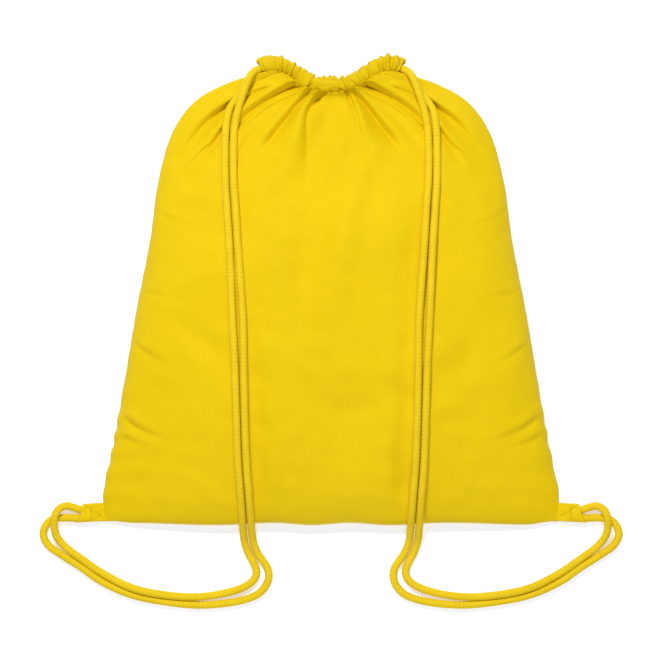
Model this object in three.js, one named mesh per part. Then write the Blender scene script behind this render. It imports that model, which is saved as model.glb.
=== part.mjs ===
// A drawstring backpack of thin cotton, lying on its back with the mouth drawn shut.
// Millimetres. +X runs across the bag, +Y from its bottom edge to its mouth, +Z up from the
// surface that it lies on. The origin is under the middle of the bag, cords left out.
import * as THREE from "three";

// Driving dimensions: the bag
const BAG_HALF_HEIGHT = 183;
const CLOTH = 1.5;
const SEAM_GAP = 0.35;
const SEAM_THICKNESS = 0.9;
const SEAM_WIDTH = 8;
const SEAM_HEIGHT = 8.5;
const CORNER_SEAM_HEIGHT = 2.6;
const BELLY_HEIGHT = 36;

// Places on a panel: shares of the way from its bottom edge to the mouth, and of its half width
const BELLY_TOP = 0.45;
const NECK_START = 0.85;
const LIP_START = 0.94;
const STITCH_PLACE = 0.985;
const STITCH_REACH = 0.96;

// Driving dimensions: the drawn mouth
const CASING_RADIUS = 7.4;
const CASING_WALL = 0.7;
const CASING_HALF_LENGTH = 48;
const REAR_CASING_Z = 7.5;
const FRONT_CASING_Z = 22.7;
const MOUTH_LIFT = 6.4;
const LIP_GAP = 3.4;
const LIP_RISE = 16;
const LIP_LEVEL_LENGTH = 8;
const LIP_RISE_LENGTH = 38;
const LIP_Y = BAG_HALF_HEIGHT - CASING_RADIUS - LIP_RISE;

// Driving dimensions: the cords
const CORD_RADIUS = 2.8;
const CORD_PAIR_RADIUS = 3.45;
const CORD_STEP = 14;
const JOINT_GAP = 1.8;
const FACE_GAP = 0.15;

// Driving dimensions: the corner tabs
const TAB_MOUTH_X = 199;
const TAB_TONGUE_X = 176.4;
const TAB_TONGUE = [2.35, 2.95];
const TAB_HEIGHT = 7.6;
const TAB_CLOTH = 0.7;
const TAB_LOW_Y = -182.6;
const TAB_WIDTH = 14.4;

// The side seam in plan, from the bottom corner up over the shoulder to the mouth
const SIDE_SEAM = [
  [177.5, -183], [177.5, -156], [171.5, -125], [161, -70], [152, -14], [141.5, 40],
  [135.5, 85], [123.8, 124], [106, 146.8], [79, 160.6], [47.5, 165.4],
];

// The free run of the cord that leaves the front casing, from its mouth to the corner tab
const FRONT_SHOULDER = [
  [49.2, 172.5, 22.7], [54, 172.3, 23.4], [59, 170.4, 26.2], [62.8, 166.2, 29.6],
  [65.6, 160, 29.9], [68.6, 152, 29.4], [72, 141, 27.8],
];
const FRONT_STRAND = [
  [72, 141, 27.8], [75, 126.5, 27.3], [75.7, 111.5, 30.1], [75.8, 96, 33.4], [75.2, 81, 37.1],
  [74, 66, 40.4], [72.5, 41, 44.3], [70, 7, 46.7], [68, -25, 46.8], [67.5, -56, 45.6], [66.7, -102, 41],
  [65.6, -134, 35.5], [63.8, -160, 28.8], [62.8, -176, 19.8], [62.2, -187, 11.8],
  [61, -197, 5.4], [57.6, -206, 3], [53, -212.8, 2.9], [49.6, -218.6, 2.9], [48.8, -225, 2.9],
  [51.4, -232, 2.9], [57.5, -238.3, 2.9], [71, -243.4, 2.9], [102, -246.8, 2.9],
  [133.4, -243.7, 2.9], [157, -238.6, 2.9], [180.2, -228.2, 2.9], [196, -217.2, 2.9],
  [211.4, -207.4, 2.9], [221.3, -200.2, 2.9],
];
const FRONT_TAIL = [
  [221.3, -200.2, 2.9], [225.6, -191.8, 2.9], [224.2, -185.4, 2.9], [219, -180, 2.9],
  [211.4, -178.5, 3.1], [203, -178.5, 3.7], [196, -178.5, 3.85], [187.8, -178.5, 3.85],
];

// The free run of the cord that leaves the rear casing and lies outside the other
const REAR_SHOULDER = [
  [49.2, 172.5, 7.5], [54, 172.3, 8.7], [58.8, 170.4, 14.5], [62.6, 166.2, 23.4],
  [66.4, 160, 23.5], [71.4, 151.5, 23.9], [78.6, 141.5, 24.5], [81.2, 131, 26],
];
const REAR_STRAND = [
  [81.2, 131, 26], [82.2, 117, 28.3], [82.3, 106, 30.5], [82.2, 94, 33.1], [81.8, 81, 36],
  [80.8, 66, 39.2], [79, 41, 43.3], [77.3, 7, 45.7], [76, -25, 45.8], [74.5, -56, 44.8], [73.2, -102, 40.5],
  [72.2, -134, 35.2], [70.4, -160, 28.6], [69.4, -176, 19.6], [68.8, -187, 11.6],
  [67.8, -197, 5.4], [64.6, -206.4, 3], [60.4, -214.4, 2.9], [58.4, -220.8, 2.9],
  [60.6, -227, 2.9], [71, -233.9, 2.9], [102, -240.3, 3.6], [133.4, -238.3, 5.4],
  [157, -232.8, 5.3], [180.2, -221.2, 4], [196, -210.3, 4], [208.5, -201, 3.6],
  [215, -192.6, 4.8], [216.8, -184.4, 7.6],
];
const REAR_TAIL = [
  [216.8, -184.4, 7.6], [216.4, -178, 9.4], [213.6, -172, 8.3], [208, -169, 5.8],
  [202, -170.2, 4.3], [196, -172.2, 3.85], [187.8, -172.3, 3.85],
];

const cotton = new THREE.MeshStandardMaterial({ color: 0xf0cc10, roughness: 0.9, metalness: 0 });
const hemCotton = new THREE.MeshStandardMaterial({ color: 0xe6c00a, roughness: 0.92, metalness: 0 });
const cordCotton = new THREE.MeshStandardMaterial({ color: 0xf2c814, roughness: 0.85, metalness: 0 });
const thread = new THREE.MeshStandardMaterial({ color: 0xeac60c, roughness: 0.7, metalness: 0 });

const bag = new THREE.Group();
bag.name = "drawstring_backpack";

const { clamp, lerp, smoothstep } = THREE.MathUtils;

function addMesh(name, geometry, material) {
  const mesh = new THREE.Mesh(geometry, material);
  mesh.name = name;
  bag.add(mesh);
}

const sideSeam = new THREE.CatmullRomCurve3(
  SIDE_SEAM.map(([x, y]) => new THREE.Vector3(x, y, 0)), false, "centripetal",
);

// The rise of the lips from the level middle of the mouth out to its gathered ends.
function lipRise(x) {
  const along = clamp((Math.abs(x) - LIP_LEVEL_LENGTH) / LIP_RISE_LENGTH, 0, 1);
  return (LIP_RISE * (1 - Math.cos(Math.PI * along))) / 2;
}

// A panel point in plan: u runs from -1 at the left seam to 1 at the right, v from 0 at the
// bottom edge to 1 at the casing.
function planPoint(u, v) {
  const side = sideSeam.getPointAt(v);
  const middleY = lerp(-BAG_HALF_HEIGHT, LIP_Y - CASING_RADIUS - LIP_GAP, 1 - (1 - v) ** 1.5);
  const x = side.x * u;
  const bodyShape = Math.abs(u) ** 2.4;
  const lipShape = lipRise(x) / LIP_RISE;
  const shape = lerp(bodyShape, lipShape, smoothstep(v, NECK_START, 1));
  return { x, y: lerp(middleY, side.y, shape) };
}

// Height of the seam's middle: low at the bottom corners, and between the casings at the mouth.
function seamZ(u, v) {
  const corner = (1 - smoothstep(v, 0, 0.35)) * u ** 4;
  const mouth = (REAR_CASING_Z + FRONT_CASING_Z) / 2;
  const side = lerp(SEAM_HEIGHT, CORNER_SEAM_HEIGHT, corner);
  return lerp(side, mouth, smoothstep(v, 0.7, 1));
}

const FLANGE = SEAM_THICKNESS / 2 + SEAM_GAP;
const LIP_SPREAD = (FRONT_CASING_Z - REAR_CASING_Z) / 2 - FLANGE - CLOTH / 2;

// Underside of the front panel: a belly that closes on the seams and narrows to the neck.
function frontUnderZ(u, v) {
  const rise = (1 - (1 - Math.min(v / BELLY_TOP, 1)) ** 2.4) ** 0.6;
  const fall = (1 + Math.cos((Math.PI * Math.max(v - BELLY_TOP, 0)) / (1 - BELLY_TOP))) / 2;
  const belly = v < BELLY_TOP ? BELLY_HEIGHT * rise : lerp(MOUTH_LIFT, BELLY_HEIGHT, fall);
  const across = (1 - Math.abs(u) ** 2.4) ** 0.6;
  return seamZ(u, v) + FLANGE + LIP_SPREAD * smoothstep(v, LIP_START, 1) + belly * across;
}

// Top side of the rear panel: flat on the ground inside, turned up to the seams at its border.
function rearTopZ(u, v) {
  const sideTurn = Math.max(0, (Math.abs(u) - 0.6) / 0.4);
  const bottomTurn = Math.max(0, 1 - v / 0.25);
  const inside = (1 - sideTurn ** 3) * (1 - bottomTurn ** 4);
  const border = seamZ(u, v) - FLANGE - LIP_SPREAD * smoothstep(v, LIP_START, 1);
  const neck = lerp(CLOTH, REAR_CASING_Z + CLOTH / 2, smoothstep(v, NECK_START, 1));
  return lerp(border, neck, inside);
}

// A box bent into a sheet: place(s, t, w) gets s and t from 0 to 1 and w from 0 to 1.
function bentBox(columns, rows, place) {
  const geometry = new THREE.BoxGeometry(1, 1, 1, columns, rows, 1);
  const position = geometry.getAttribute("position");
  for (let i = 0; i < position.count; i++) {
    const spot = place(position.getX(i) + 0.5, position.getY(i) + 0.5, position.getZ(i) + 0.5);
    position.setXYZ(i, spot.x, spot.y, spot.z);
  }
  geometry.computeVertexNormals();
  return geometry;
}

// A tube along a curve, closed at both ends.
function tube(curve, radius, sides, steps, boreRadius = 0) {
  const ring = (r) => Array.from({ length: sides }, (_, i) => {
    const angle = (2 * Math.PI * i) / sides;
    return new THREE.Vector2(r * Math.cos(angle), r * Math.sin(angle));
  });
  const section = new THREE.Shape(ring(radius));
  if (boreRadius > 0) section.holes.push(new THREE.Path(ring(boreRadius)));
  return new THREE.ExtrudeGeometry(section, { steps, extrudePath: curve, bevelEnabled: false });
}

function addPanels() {
  const columns = 22;
  const rows = 24;
  const across = (s) => Math.sin(Math.PI * (s - 0.5));
  const up = (t) => 1 - (1 - t) ** 1.15;
  addMesh("front_panel", bentBox(columns, rows, (s, t, w) => {
    const u = across(s);
    const v = up(t);
    return { ...planPoint(u, v), z: frontUnderZ(u, v) + CLOTH * w };
  }), cotton);
  addMesh("rear_panel", bentBox(columns, rows, (s, t, w) => {
    const u = across(s);
    const v = up(t);
    return { ...planPoint(u, v), z: rearTopZ(u, v) - CLOTH * (1 - w) };
  }), cotton);
}

// The seam allowances lie inside the bag, between the two panels.
function addSeams() {
  const edgeSetback = 0.6;
  for (const [side, sign] of [["left", -1], ["right", 1]]) {
    addMesh(`${side}_side_seam`, bentBox(1, 20, (s, t, w) => {
      const v = lerp(0.075, 0.9, t);
      const reach = sideSeam.getPointAt(v).x;
      const inner = 1 - (edgeSetback + SEAM_WIDTH) / reach;
      const outer = 1 - edgeSetback / reach;
      const u = sign > 0 ? lerp(inner, outer, s) : lerp(-outer, -inner, s);
      return { ...planPoint(u, v), z: seamZ(u, v) + SEAM_THICKNESS * (w - 0.5) };
    }), hemCotton);
  }
  addMesh("bottom_seam", bentBox(20, 1, (s, t, w) => {
    const u = lerp(-0.92, 0.92, s);
    const v = lerp(0.0015, 0.017, t);
    return { ...planPoint(u, v), z: seamZ(u, v) + SEAM_THICKNESS * (w - 0.5) };
  }), hemCotton);
}

// The middle line of a casing at x, for the front or the rear lip.
function casingPoint(x, isFront) {
  const rise = lipRise(x);
  const lift = MOUTH_LIFT * (1 - rise / LIP_RISE);
  return new THREE.Vector3(x, LIP_Y + rise, isFront ? FRONT_CASING_Z + lift : REAR_CASING_Z);
}

function lineAcross(halfLength, count, pointAt) {
  const points = Array.from({ length: count + 1 }, (_, i) =>
    pointAt(lerp(-halfLength, halfLength, i / count)));
  return new THREE.CatmullRomCurve3(points, false, "centripetal");
}

function addCasings() {
  for (const [side, isFront] of [["front", true], ["rear", false]]) {
    const middle = lineAcross(CASING_HALF_LENGTH, 16, (x) => casingPoint(x, isFront));
    const bore = CASING_RADIUS - CASING_WALL;
    addMesh(`${side}_casing`, tube(middle, CASING_RADIUS, 12, 20, bore), hemCotton);
    const stitchRadius = 0.4;
    const away = stitchRadius + 2 * SEAM_GAP;
    const row = lineAcross(STITCH_REACH, 20, (u) => {
      const { x, y } = planPoint(u, STITCH_PLACE);
      const above = frontUnderZ(u, STITCH_PLACE) + CLOTH + away;
      const below = rearTopZ(u, STITCH_PLACE) - CLOTH - away;
      return new THREE.Vector3(x, y, isFront ? above : below);
    });
    addMesh(`${side}_casing_stitch`, tube(row, stitchRadius, 6, 22), thread);
  }
}

// A tab is a strip folded over the cord's ends, its tongue sewn into the corner of the bag.
function addCornerTabs() {
  const shoulderX = 186;
  const tongueX = 180.5;
  const [low, high] = TAB_TONGUE;
  const profile = new THREE.Shape();
  profile.moveTo(TAB_MOUTH_X, 0.05);
  profile.lineTo(shoulderX, 0.05);
  profile.lineTo(tongueX, low);
  profile.lineTo(TAB_TONGUE_X, low);
  profile.lineTo(TAB_TONGUE_X, high);
  profile.lineTo(tongueX, high);
  profile.lineTo(shoulderX, TAB_HEIGHT);
  profile.lineTo(TAB_MOUTH_X, TAB_HEIGHT);
  profile.lineTo(TAB_MOUTH_X, TAB_HEIGHT - TAB_CLOTH);
  profile.lineTo(shoulderX + 0.5, TAB_HEIGHT - TAB_CLOTH);
  profile.lineTo(shoulderX - 2.2, TAB_HEIGHT / 2);
  profile.lineTo(shoulderX + 0.5, TAB_CLOTH);
  profile.lineTo(TAB_MOUTH_X, TAB_CLOTH);
  for (const [side, sign] of [["left", -1], ["right", 1]]) {
    const shape = new THREE.Shape(profile.getPoints().map((p) => new THREE.Vector2(sign * p.x, p.y)));
    const strip = new THREE.ExtrudeGeometry(shape, { depth: TAB_WIDTH, steps: 1, bevelEnabled: false });
    strip.rotateX(Math.PI / 2);
    strip.translate(0, TAB_LOW_Y + TAB_WIDTH, 0);
    addMesh(`${side}_corner_tab`, strip, cotton);
    const tack = new THREE.BoxGeometry(1.6, TAB_WIDTH - 3, 0.7);
    tack.translate(sign * (shoulderX + 3), TAB_LOW_Y + TAB_WIDTH / 2, TAB_HEIGHT + SEAM_GAP + 0.35);
    addMesh(`${side}_tab_bartack`, tack, thread);
  }
}

// Cuts a length off one or both ends of a curve, so that the next piece of cord stays clear.
function trimmed(curve, startCut, endCut) {
  const length = curve.getLength();
  const count = Math.ceil(length / CORD_STEP) * 2;
  const points = Array.from({ length: count + 1 }, (_, i) =>
    curve.getPointAt(lerp(startCut / length, 1 - endCut / length, i / count)));
  return new THREE.CatmullRomCurve3(points, false, "centripetal");
}

// One free cord: a fixed run over the shoulder, the strand that swings, and the fixed tail.
function addFreeCord(side, sign, name, runs) {
  const last = runs.length - 1;
  const parts = ["shoulder", "strand", "tail"];
  runs.forEach((run, i) => {
    const route = new THREE.CatmullRomCurve3(
      run.map(([x, y, z]) => new THREE.Vector3(sign * x, y, z)), false, "centripetal",
    );
    const curve = trimmed(route, i === 0 ? FACE_GAP : JOINT_GAP, i === last ? FACE_GAP : JOINT_GAP);
    const steps = Math.ceil(curve.getLength() / (i === 1 ? CORD_STEP * 0.75 : CORD_STEP / 2));
    addMesh(`${side}_${name}_cord_${parts[i]}`, tube(curve, CORD_RADIUS, 8, steps), cordCotton);
  });
}

// A cord's hidden run: through the front casing, round outside its far mouth, and back through
// the rear casing. The two cords twist half a turn about each other inside each casing.
function addChannelRun(side, sign) {
  const start = CASING_HALF_LENGTH;
  const along = (isFront, travel) => {
    const turn = Math.PI * travel;
    const spot = casingPoint(-start + 2 * start * travel, isFront);
    spot.y -= CORD_PAIR_RADIUS * Math.cos(turn);
    spot.z += sign * CORD_PAIR_RADIUS * Math.sin(turn) * (isFront ? 1 : -1);
    spot.x *= -sign;
    return spot;
  };
  const count = 10;
  const stations = Array.from({ length: count + 1 }, (_, i) => i / count);
  const inFront = stations.map((travel) => along(true, travel));
  const behind = stations.map((travel) => along(false, travel)).reverse();
  const from = inFront[count];
  const reach = (FRONT_CASING_Z - REAR_CASING_Z) / 2;
  const bight = [45, 90, 135].map((angle) => {
    const a = THREE.MathUtils.degToRad(angle);
    const z = from.z - reach * (1 - Math.cos(a));
    return new THREE.Vector3(from.x - sign * reach * Math.sin(a), from.y, z);
  });
  const curve = new THREE.CatmullRomCurve3([...inFront, ...bight, ...behind], false, "centripetal");
  addMesh(`${side}_cord_channel_run`, tube(curve, CORD_RADIUS, 8, 46), cordCotton);
}

addPanels();
addSeams();
addCasings();
addCornerTabs();
for (const [side, sign] of [["left", -1], ["right", 1]]) {
  addChannelRun(side, sign);
  addFreeCord(side, sign, "front", [FRONT_SHOULDER, FRONT_STRAND, FRONT_TAIL]);
  addFreeCord(side, sign, "rear", [REAR_SHOULDER, REAR_STRAND, REAR_TAIL]);
}

export default bag;
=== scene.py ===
"""A drawstring backpack: cotton shell, drawn mouth, braided cords and stitching."""

import math

import bpy
import numpy as np
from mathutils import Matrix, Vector
from mathutils.kdtree import KDTree


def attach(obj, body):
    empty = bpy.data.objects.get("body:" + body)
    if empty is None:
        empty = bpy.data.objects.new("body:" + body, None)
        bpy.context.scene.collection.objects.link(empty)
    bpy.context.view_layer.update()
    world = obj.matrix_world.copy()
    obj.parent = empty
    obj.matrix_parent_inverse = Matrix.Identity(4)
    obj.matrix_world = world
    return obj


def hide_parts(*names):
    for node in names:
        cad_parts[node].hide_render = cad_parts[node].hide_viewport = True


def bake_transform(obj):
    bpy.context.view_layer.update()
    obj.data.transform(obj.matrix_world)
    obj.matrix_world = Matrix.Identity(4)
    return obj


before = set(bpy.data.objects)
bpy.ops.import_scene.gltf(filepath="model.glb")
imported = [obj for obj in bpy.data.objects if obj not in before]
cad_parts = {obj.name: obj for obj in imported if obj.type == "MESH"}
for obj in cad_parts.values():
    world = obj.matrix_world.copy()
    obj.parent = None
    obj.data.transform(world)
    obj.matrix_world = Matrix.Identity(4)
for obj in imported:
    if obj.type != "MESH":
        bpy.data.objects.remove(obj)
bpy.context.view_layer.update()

MM = 0.001

# Driving dimensions in millimetres, as the frame has them
BAG_HALF_HEIGHT = 183.0
CASING_RADIUS = 7.4
CASING_HALF_LENGTH = 48.0
REAR_CASING_Z = 7.5
FRONT_CASING_Z = 22.7
MOUTH_LIFT = 6.4
LIP_RISE = 16.0
LIP_LEVEL_LENGTH = 8.0
LIP_RISE_LENGTH = 38.0
LIP_Y = BAG_HALF_HEIGHT - CASING_RADIUS - LIP_RISE
HALF_MOUTH_GAP = (FRONT_CASING_Z - REAR_CASING_Z) / 2
SEAM_HEIGHT = 8.5
CORNER_SEAM_HEIGHT = 2.6
BELLY_HEIGHT = 36.0
CORD_RADIUS = 2.8
CORD_PAIR_RADIUS = 3.45

# Thin cloth in place of the frame's thicker panels, and the least height above the floor
CLOTH = 0.6
FLOOR_GAP = 0.05

# The side seam in plan, from the bottom corner up over the shoulder and in under the casing
SIDE_SEAM = [
    (178, -183), (178.3, -158), (171.5, -125), (161.5, -70), (152, -14), (141.5, 40),
    (135.2, 85), (123.8, 124), (106.5, 147.4), (79, 162.4), (49, 170.5),
]

# The cords' routes, right side, as the frame has them. Each list is one stretch of the route: over
# the shoulder, the stretch that swings, and the tail.
FRONT_ROUTE = [
    [
        (49.2, 172.5, 22.7), (54, 172.3, 23.4), (59, 170.4, 26.2), (62.8, 166.2, 29.6),
        (65.6, 160, 29.9), (68.6, 152, 29.4), (72, 141, 27.8),
    ],
    [
        (72, 141, 27.8), (75, 126.5, 27.3), (75.7, 111.5, 30.1), (75.8, 96, 33.4), (75.2, 81, 37.1),
        (74, 66, 40.4), (72.5, 41, 44.3), (70, 7, 46.7), (68, -25, 46.8), (67.5, -56, 45.6),
        (66.7, -102, 41), (65.6, -134, 35.5), (63.8, -160, 28.8), (62.8, -176, 19.8),
        (62.2, -187, 11.8), (61, -197, 5.4), (57.6, -206, 3), (53, -212.8, 2.9), (49.6, -218.6, 2.9),
        (48.8, -225, 2.9), (51.4, -232, 2.9), (57.5, -238.3, 2.9), (71, -243.4, 2.9),
        (102, -246.8, 2.9), (133.4, -243.7, 2.9), (157, -238.6, 2.9), (180.2, -228.2, 2.9),
        (196, -217.2, 2.9), (211.4, -207.4, 2.9), (221.3, -200.2, 2.9),
    ],
    [
        (221.3, -200.2, 2.9), (225.6, -191.8, 2.9), (224.2, -185.4, 2.9), (219, -180, 2.9),
        (211.4, -178.5, 3.1), (203, -178.5, 3.7), (196, -178.5, 3.85), (187.8, -178.5, 3.85),
    ],
]
REAR_ROUTE = [
    [
        (49.2, 172.5, 7.5), (54, 172.3, 8.7), (58.8, 170.4, 14.5), (62.6, 166.2, 23.4),
        (66.4, 160, 23.5), (71.4, 151.5, 23.9), (78.6, 141.5, 24.5), (81.2, 131, 26),
    ],
    [
        (81.2, 131, 26), (82.2, 117, 28.3), (82.3, 106, 30.5), (82.2, 94, 33.1), (81.8, 81, 36),
        (80.8, 66, 39.2), (79, 41, 43.3), (77.3, 7, 45.7), (76, -25, 45.8), (74.5, -56, 44.8),
        (73.2, -102, 40.5), (72.2, -134, 35.2), (70.4, -160, 28.6), (69.4, -176, 19.6),
        (68.8, -187, 11.6), (67.8, -197, 5.4), (64.6, -206.4, 3), (60.4, -214.4, 2.9),
        (58.4, -220.8, 2.9), (60.6, -227, 2.9), (71, -233.9, 2.9), (102, -240.3, 3.6),
        (133.4, -238.3, 5.4), (157, -232.8, 5.3), (180.2, -221.2, 4), (196, -210.3, 4),
        (208.5, -201, 3.6), (215, -192.6, 4.8), (216.8, -184.4, 7.6),
    ],
    [
        (216.8, -184.4, 7.6), (216.4, -178, 9.4), (213.6, -172, 8.3), (208, -169, 5.8),
        (202, -170.2, 4.3), (196, -172.2, 3.85), (187.8, -172.3, 3.85),
    ],
]
SIDES = (("left", -1), ("right", 1))


# --- small helpers ---------------------------------------------------------------------------

def lerp(a, b, t):
    return a + (b - a) * t


def smoothstep(x, low, high):
    t = np.clip((x - low) / (high - low), 0, 1)
    return t * t * (3 - 2 * t)


def bell(x, middle, width):
    return np.exp(-((x - middle) / width) ** 2)


def furrow(r, ridge, ridge_at, ridge_width):
    """A groove of depth 1 and half width 1 at r = 0, with a low ridge on each side of it."""
    return ridge * bell(np.abs(r), ridge_at, ridge_width) - bell(r, 0, 1)


def mirrored(points, sign):
    return [(sign * x, *rest) for x, *rest in points]


def smooth_line(points, per_span=24):
    """The centripetal Catmull-Rom curve through some points, as a fine polyline."""
    p = np.array(points, float)
    p = np.vstack([2 * p[0] - p[1], p, 2 * p[-1] - p[-2]])
    out = []
    for i in range(1, len(p) - 2):
        knots = [0.0]
        for a, b in zip(p[i - 1:i + 2], p[i:i + 3]):
            knots.append(knots[-1] + max(np.linalg.norm(b - a), 1e-6) ** 0.5)
        t0, t1, t2, t3 = knots
        t = np.linspace(t1, t2, per_span, endpoint=False)[:, None]
        p0, p1, p2, p3 = p[i - 1:i + 3]
        a1 = (t1 - t) / (t1 - t0) * p0 + (t - t0) / (t1 - t0) * p1
        a2 = (t2 - t) / (t2 - t1) * p1 + (t - t1) / (t2 - t1) * p2
        a3 = (t3 - t) / (t3 - t2) * p2 + (t - t2) / (t3 - t2) * p3
        b1 = (t2 - t) / (t2 - t0) * a1 + (t - t0) / (t2 - t0) * a2
        b2 = (t3 - t) / (t3 - t1) * a2 + (t - t1) / (t3 - t1) * a3
        out.append((t2 - t) / (t2 - t1) * b1 + (t - t1) / (t2 - t1) * b2)
    out.append(p[-2][None, :])
    return np.vstack(out)


def distances_along(line):
    return np.concatenate([[0], np.cumsum(np.linalg.norm(np.diff(line, axis=0), axis=1))])


def evenly(line, count):
    """The line again as count + 1 evenly spaced points."""
    along = distances_along(line)
    at = np.linspace(0, along[-1], count + 1)
    return np.stack([np.interp(at, along, line[:, k]) for k in range(line.shape[1])], axis=1)


def wave_noise(x, y, shortest, longest, seed, count=28):
    """Smooth noise of about unit size: a sum of seeded plane waves between two wavelengths."""
    rng = np.random.RandomState(seed)
    total = np.zeros(np.broadcast(x, y).shape)
    for _ in range(count):
        length = math.exp(rng.uniform(math.log(shortest), math.log(longest)))
        heading = rng.uniform(0, 2 * math.pi)
        shift = rng.uniform(0, 2 * math.pi)
        wave = (x * math.cos(heading) + y * math.sin(heading)) * 2 * math.pi / length
        total += np.cos(wave + shift)
    return total / math.sqrt(count / 2)


def add_mesh(name, points, faces, material, uv=None, attributes=None):
    """A smooth-shaded mesh from points in millimetres."""
    mesh = bpy.data.meshes.new(name)
    mesh.from_pydata((np.asarray(points) * MM).tolist(), [], faces)
    mesh.polygons.foreach_set("use_smooth", [True] * len(mesh.polygons))
    if uv is not None:
        layer = mesh.uv_layers.new(name="thread")
        index = np.zeros(len(mesh.loops), np.int32)
        mesh.loops.foreach_get("vertex_index", index)
        layer.data.foreach_set("uv", np.asarray(uv)[index].astype(np.float32).ravel())
    for key, values in (attributes or {}).items():
        layer = mesh.attributes.new(key, "FLOAT", "POINT")
        layer.data.foreach_set("value", np.asarray(values, np.float32).ravel())
    mesh.materials.append(material)
    mesh.update()
    piece = bpy.data.objects.new(name, mesh)
    bpy.context.scene.collection.objects.link(piece)
    return piece


def thicken(piece, name, thickness, offset):
    modifier = piece.modifiers.new(name, "SOLIDIFY")
    modifier.thickness = thickness * MM
    modifier.offset = offset


def grid_faces(rows, columns, wrap=False, flip=False):
    """Quads of a grid, its points listed row by row; wrap joins each row's last point to its first."""
    faces = []
    for r in range(rows - 1):
        for c in range(columns if wrap else columns - 1):
            a = r * columns + c
            b = r * columns + (c + 1) % columns
            quad = (a, b, b + columns, a + columns)
            faces.append(quad[::-1] if flip else quad)
    return faces


def capped_tube_faces(rings, sides):
    faces = grid_faces(rings, sides, wrap=True)
    faces.append(tuple(range(sides))[::-1])
    faces.append(tuple((rings - 1) * sides + i for i in range(sides)))
    return faces


def sleeve_faces(rings, sides, flip=False):
    """Faces of an open sleeve: an outer shell, an inner shell after it, and a rim at each end."""
    shift = rings * sides
    faces = grid_faces(rings, sides, True, flip)
    faces += [tuple(i + shift for i in f) for f in grid_faces(rings, sides, True, not flip)]
    for first, turned in ((0, flip), (shift - sides, not flip)):
        for k in range(sides):
            a, b = first + k, first + (k + 1) % sides
            quad = (a, a + shift, b + shift, b)
            faces.append(quad[::-1] if turned else quad)
    return faces


def around(sides):
    """Evenly spaced angles round a ring."""
    return np.arange(sides) * 2 * math.pi / sides


def tube_points(centres, radius, angle, first, second):
    """Rings of points round some centres, in the planes of the two vectors first and second."""
    ring = (np.cos(angle)[None, :, None] * first[:, None, :]
            + np.sin(angle)[None, :, None] * second[:, None, :])
    return (centres[:, None, :] + radius[:, :, None] * ring).reshape(-1, 3)


# --- materials -------------------------------------------------------------------------------

class Finish:
    """A procedural material, built node by node in front of its Principled shader."""

    def __init__(self, name):
        self.material = bpy.data.materials.new(name)
        self.material.use_nodes = True
        self.nodes = self.material.node_tree.nodes
        self.links = self.material.node_tree.links
        self.shader = self.nodes["Principled BSDF"]

    def node(self, kind, **properties):
        node = self.nodes.new(kind)
        for key, value in properties.items():
            setattr(node, key, value)
        return node

    def calc(self, operation, a, b=None):
        """A math node; a and b are numbers or other nodes' outputs."""
        node = self.node("ShaderNodeMath", operation=operation)
        for socket, value in zip(node.inputs, (a, b)):
            if isinstance(value, (int, float)):
                socket.default_value = value
            elif value is not None:
                self.links.new(value, socket)
        return node.outputs[0]

    def weighted_sum(self, *terms):
        total = None
        for value, weight in terms:
            part = self.calc("MULTIPLY", value, weight)
            total = part if total is None else self.calc("ADD", total, part)
        return total

    def object_place(self):
        return self.node("ShaderNodeTexCoord").outputs["Object"]

    def noise(self, place, scale, detail, roughness=0.5):
        node = self.node("ShaderNodeTexNoise")
        node.inputs["Scale"].default_value = scale
        node.inputs["Detail"].default_value = detail
        node.inputs["Roughness"].default_value = roughness
        self.links.new(place, node.inputs["Vector"])
        return node.outputs["Fac"]

    def colour(self, shade, dark, light, dark_at, light_at):
        """Colours the shader from dark to light as the shade goes from dark_at to light_at."""
        ramp = self.node("ShaderNodeValToRGB")
        low, high = ramp.color_ramp.elements
        low.position, low.color = dark_at, (*dark, 1)
        high.position, high.color = light_at, (*light, 1)
        self.links.new(shade, ramp.inputs["Fac"])
        self.links.new(ramp.outputs["Color"], self.shader.inputs["Base Color"])

    def bump(self, height, strength, distance):
        """Tilts the shader's normal as if the height, from 0 to 1, were so many millimetres."""
        node = self.node("ShaderNodeBump")
        node.inputs["Strength"].default_value = strength
        node.inputs["Distance"].default_value = distance * MM
        self.links.new(height, node.inputs["Height"])
        self.links.new(node.outputs["Normal"], self.shader.inputs["Normal"])

    def set_inputs(self, **values):
        """Sets the shader's inputs, written with _ for each space in their names."""
        for key, value in values.items():
            self.shader.inputs[key.replace("_", " ")].default_value = value


# Millimetres from thread to thread, and the slubs' noise per millimetre along and across a thread
WEAVE_PITCH = 0.42
SLUB_ALONG = 0.09
SLUB_ACROSS = 2.2
SHEEN_TINT = (1.0, 0.86, 0.3, 1)


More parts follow.
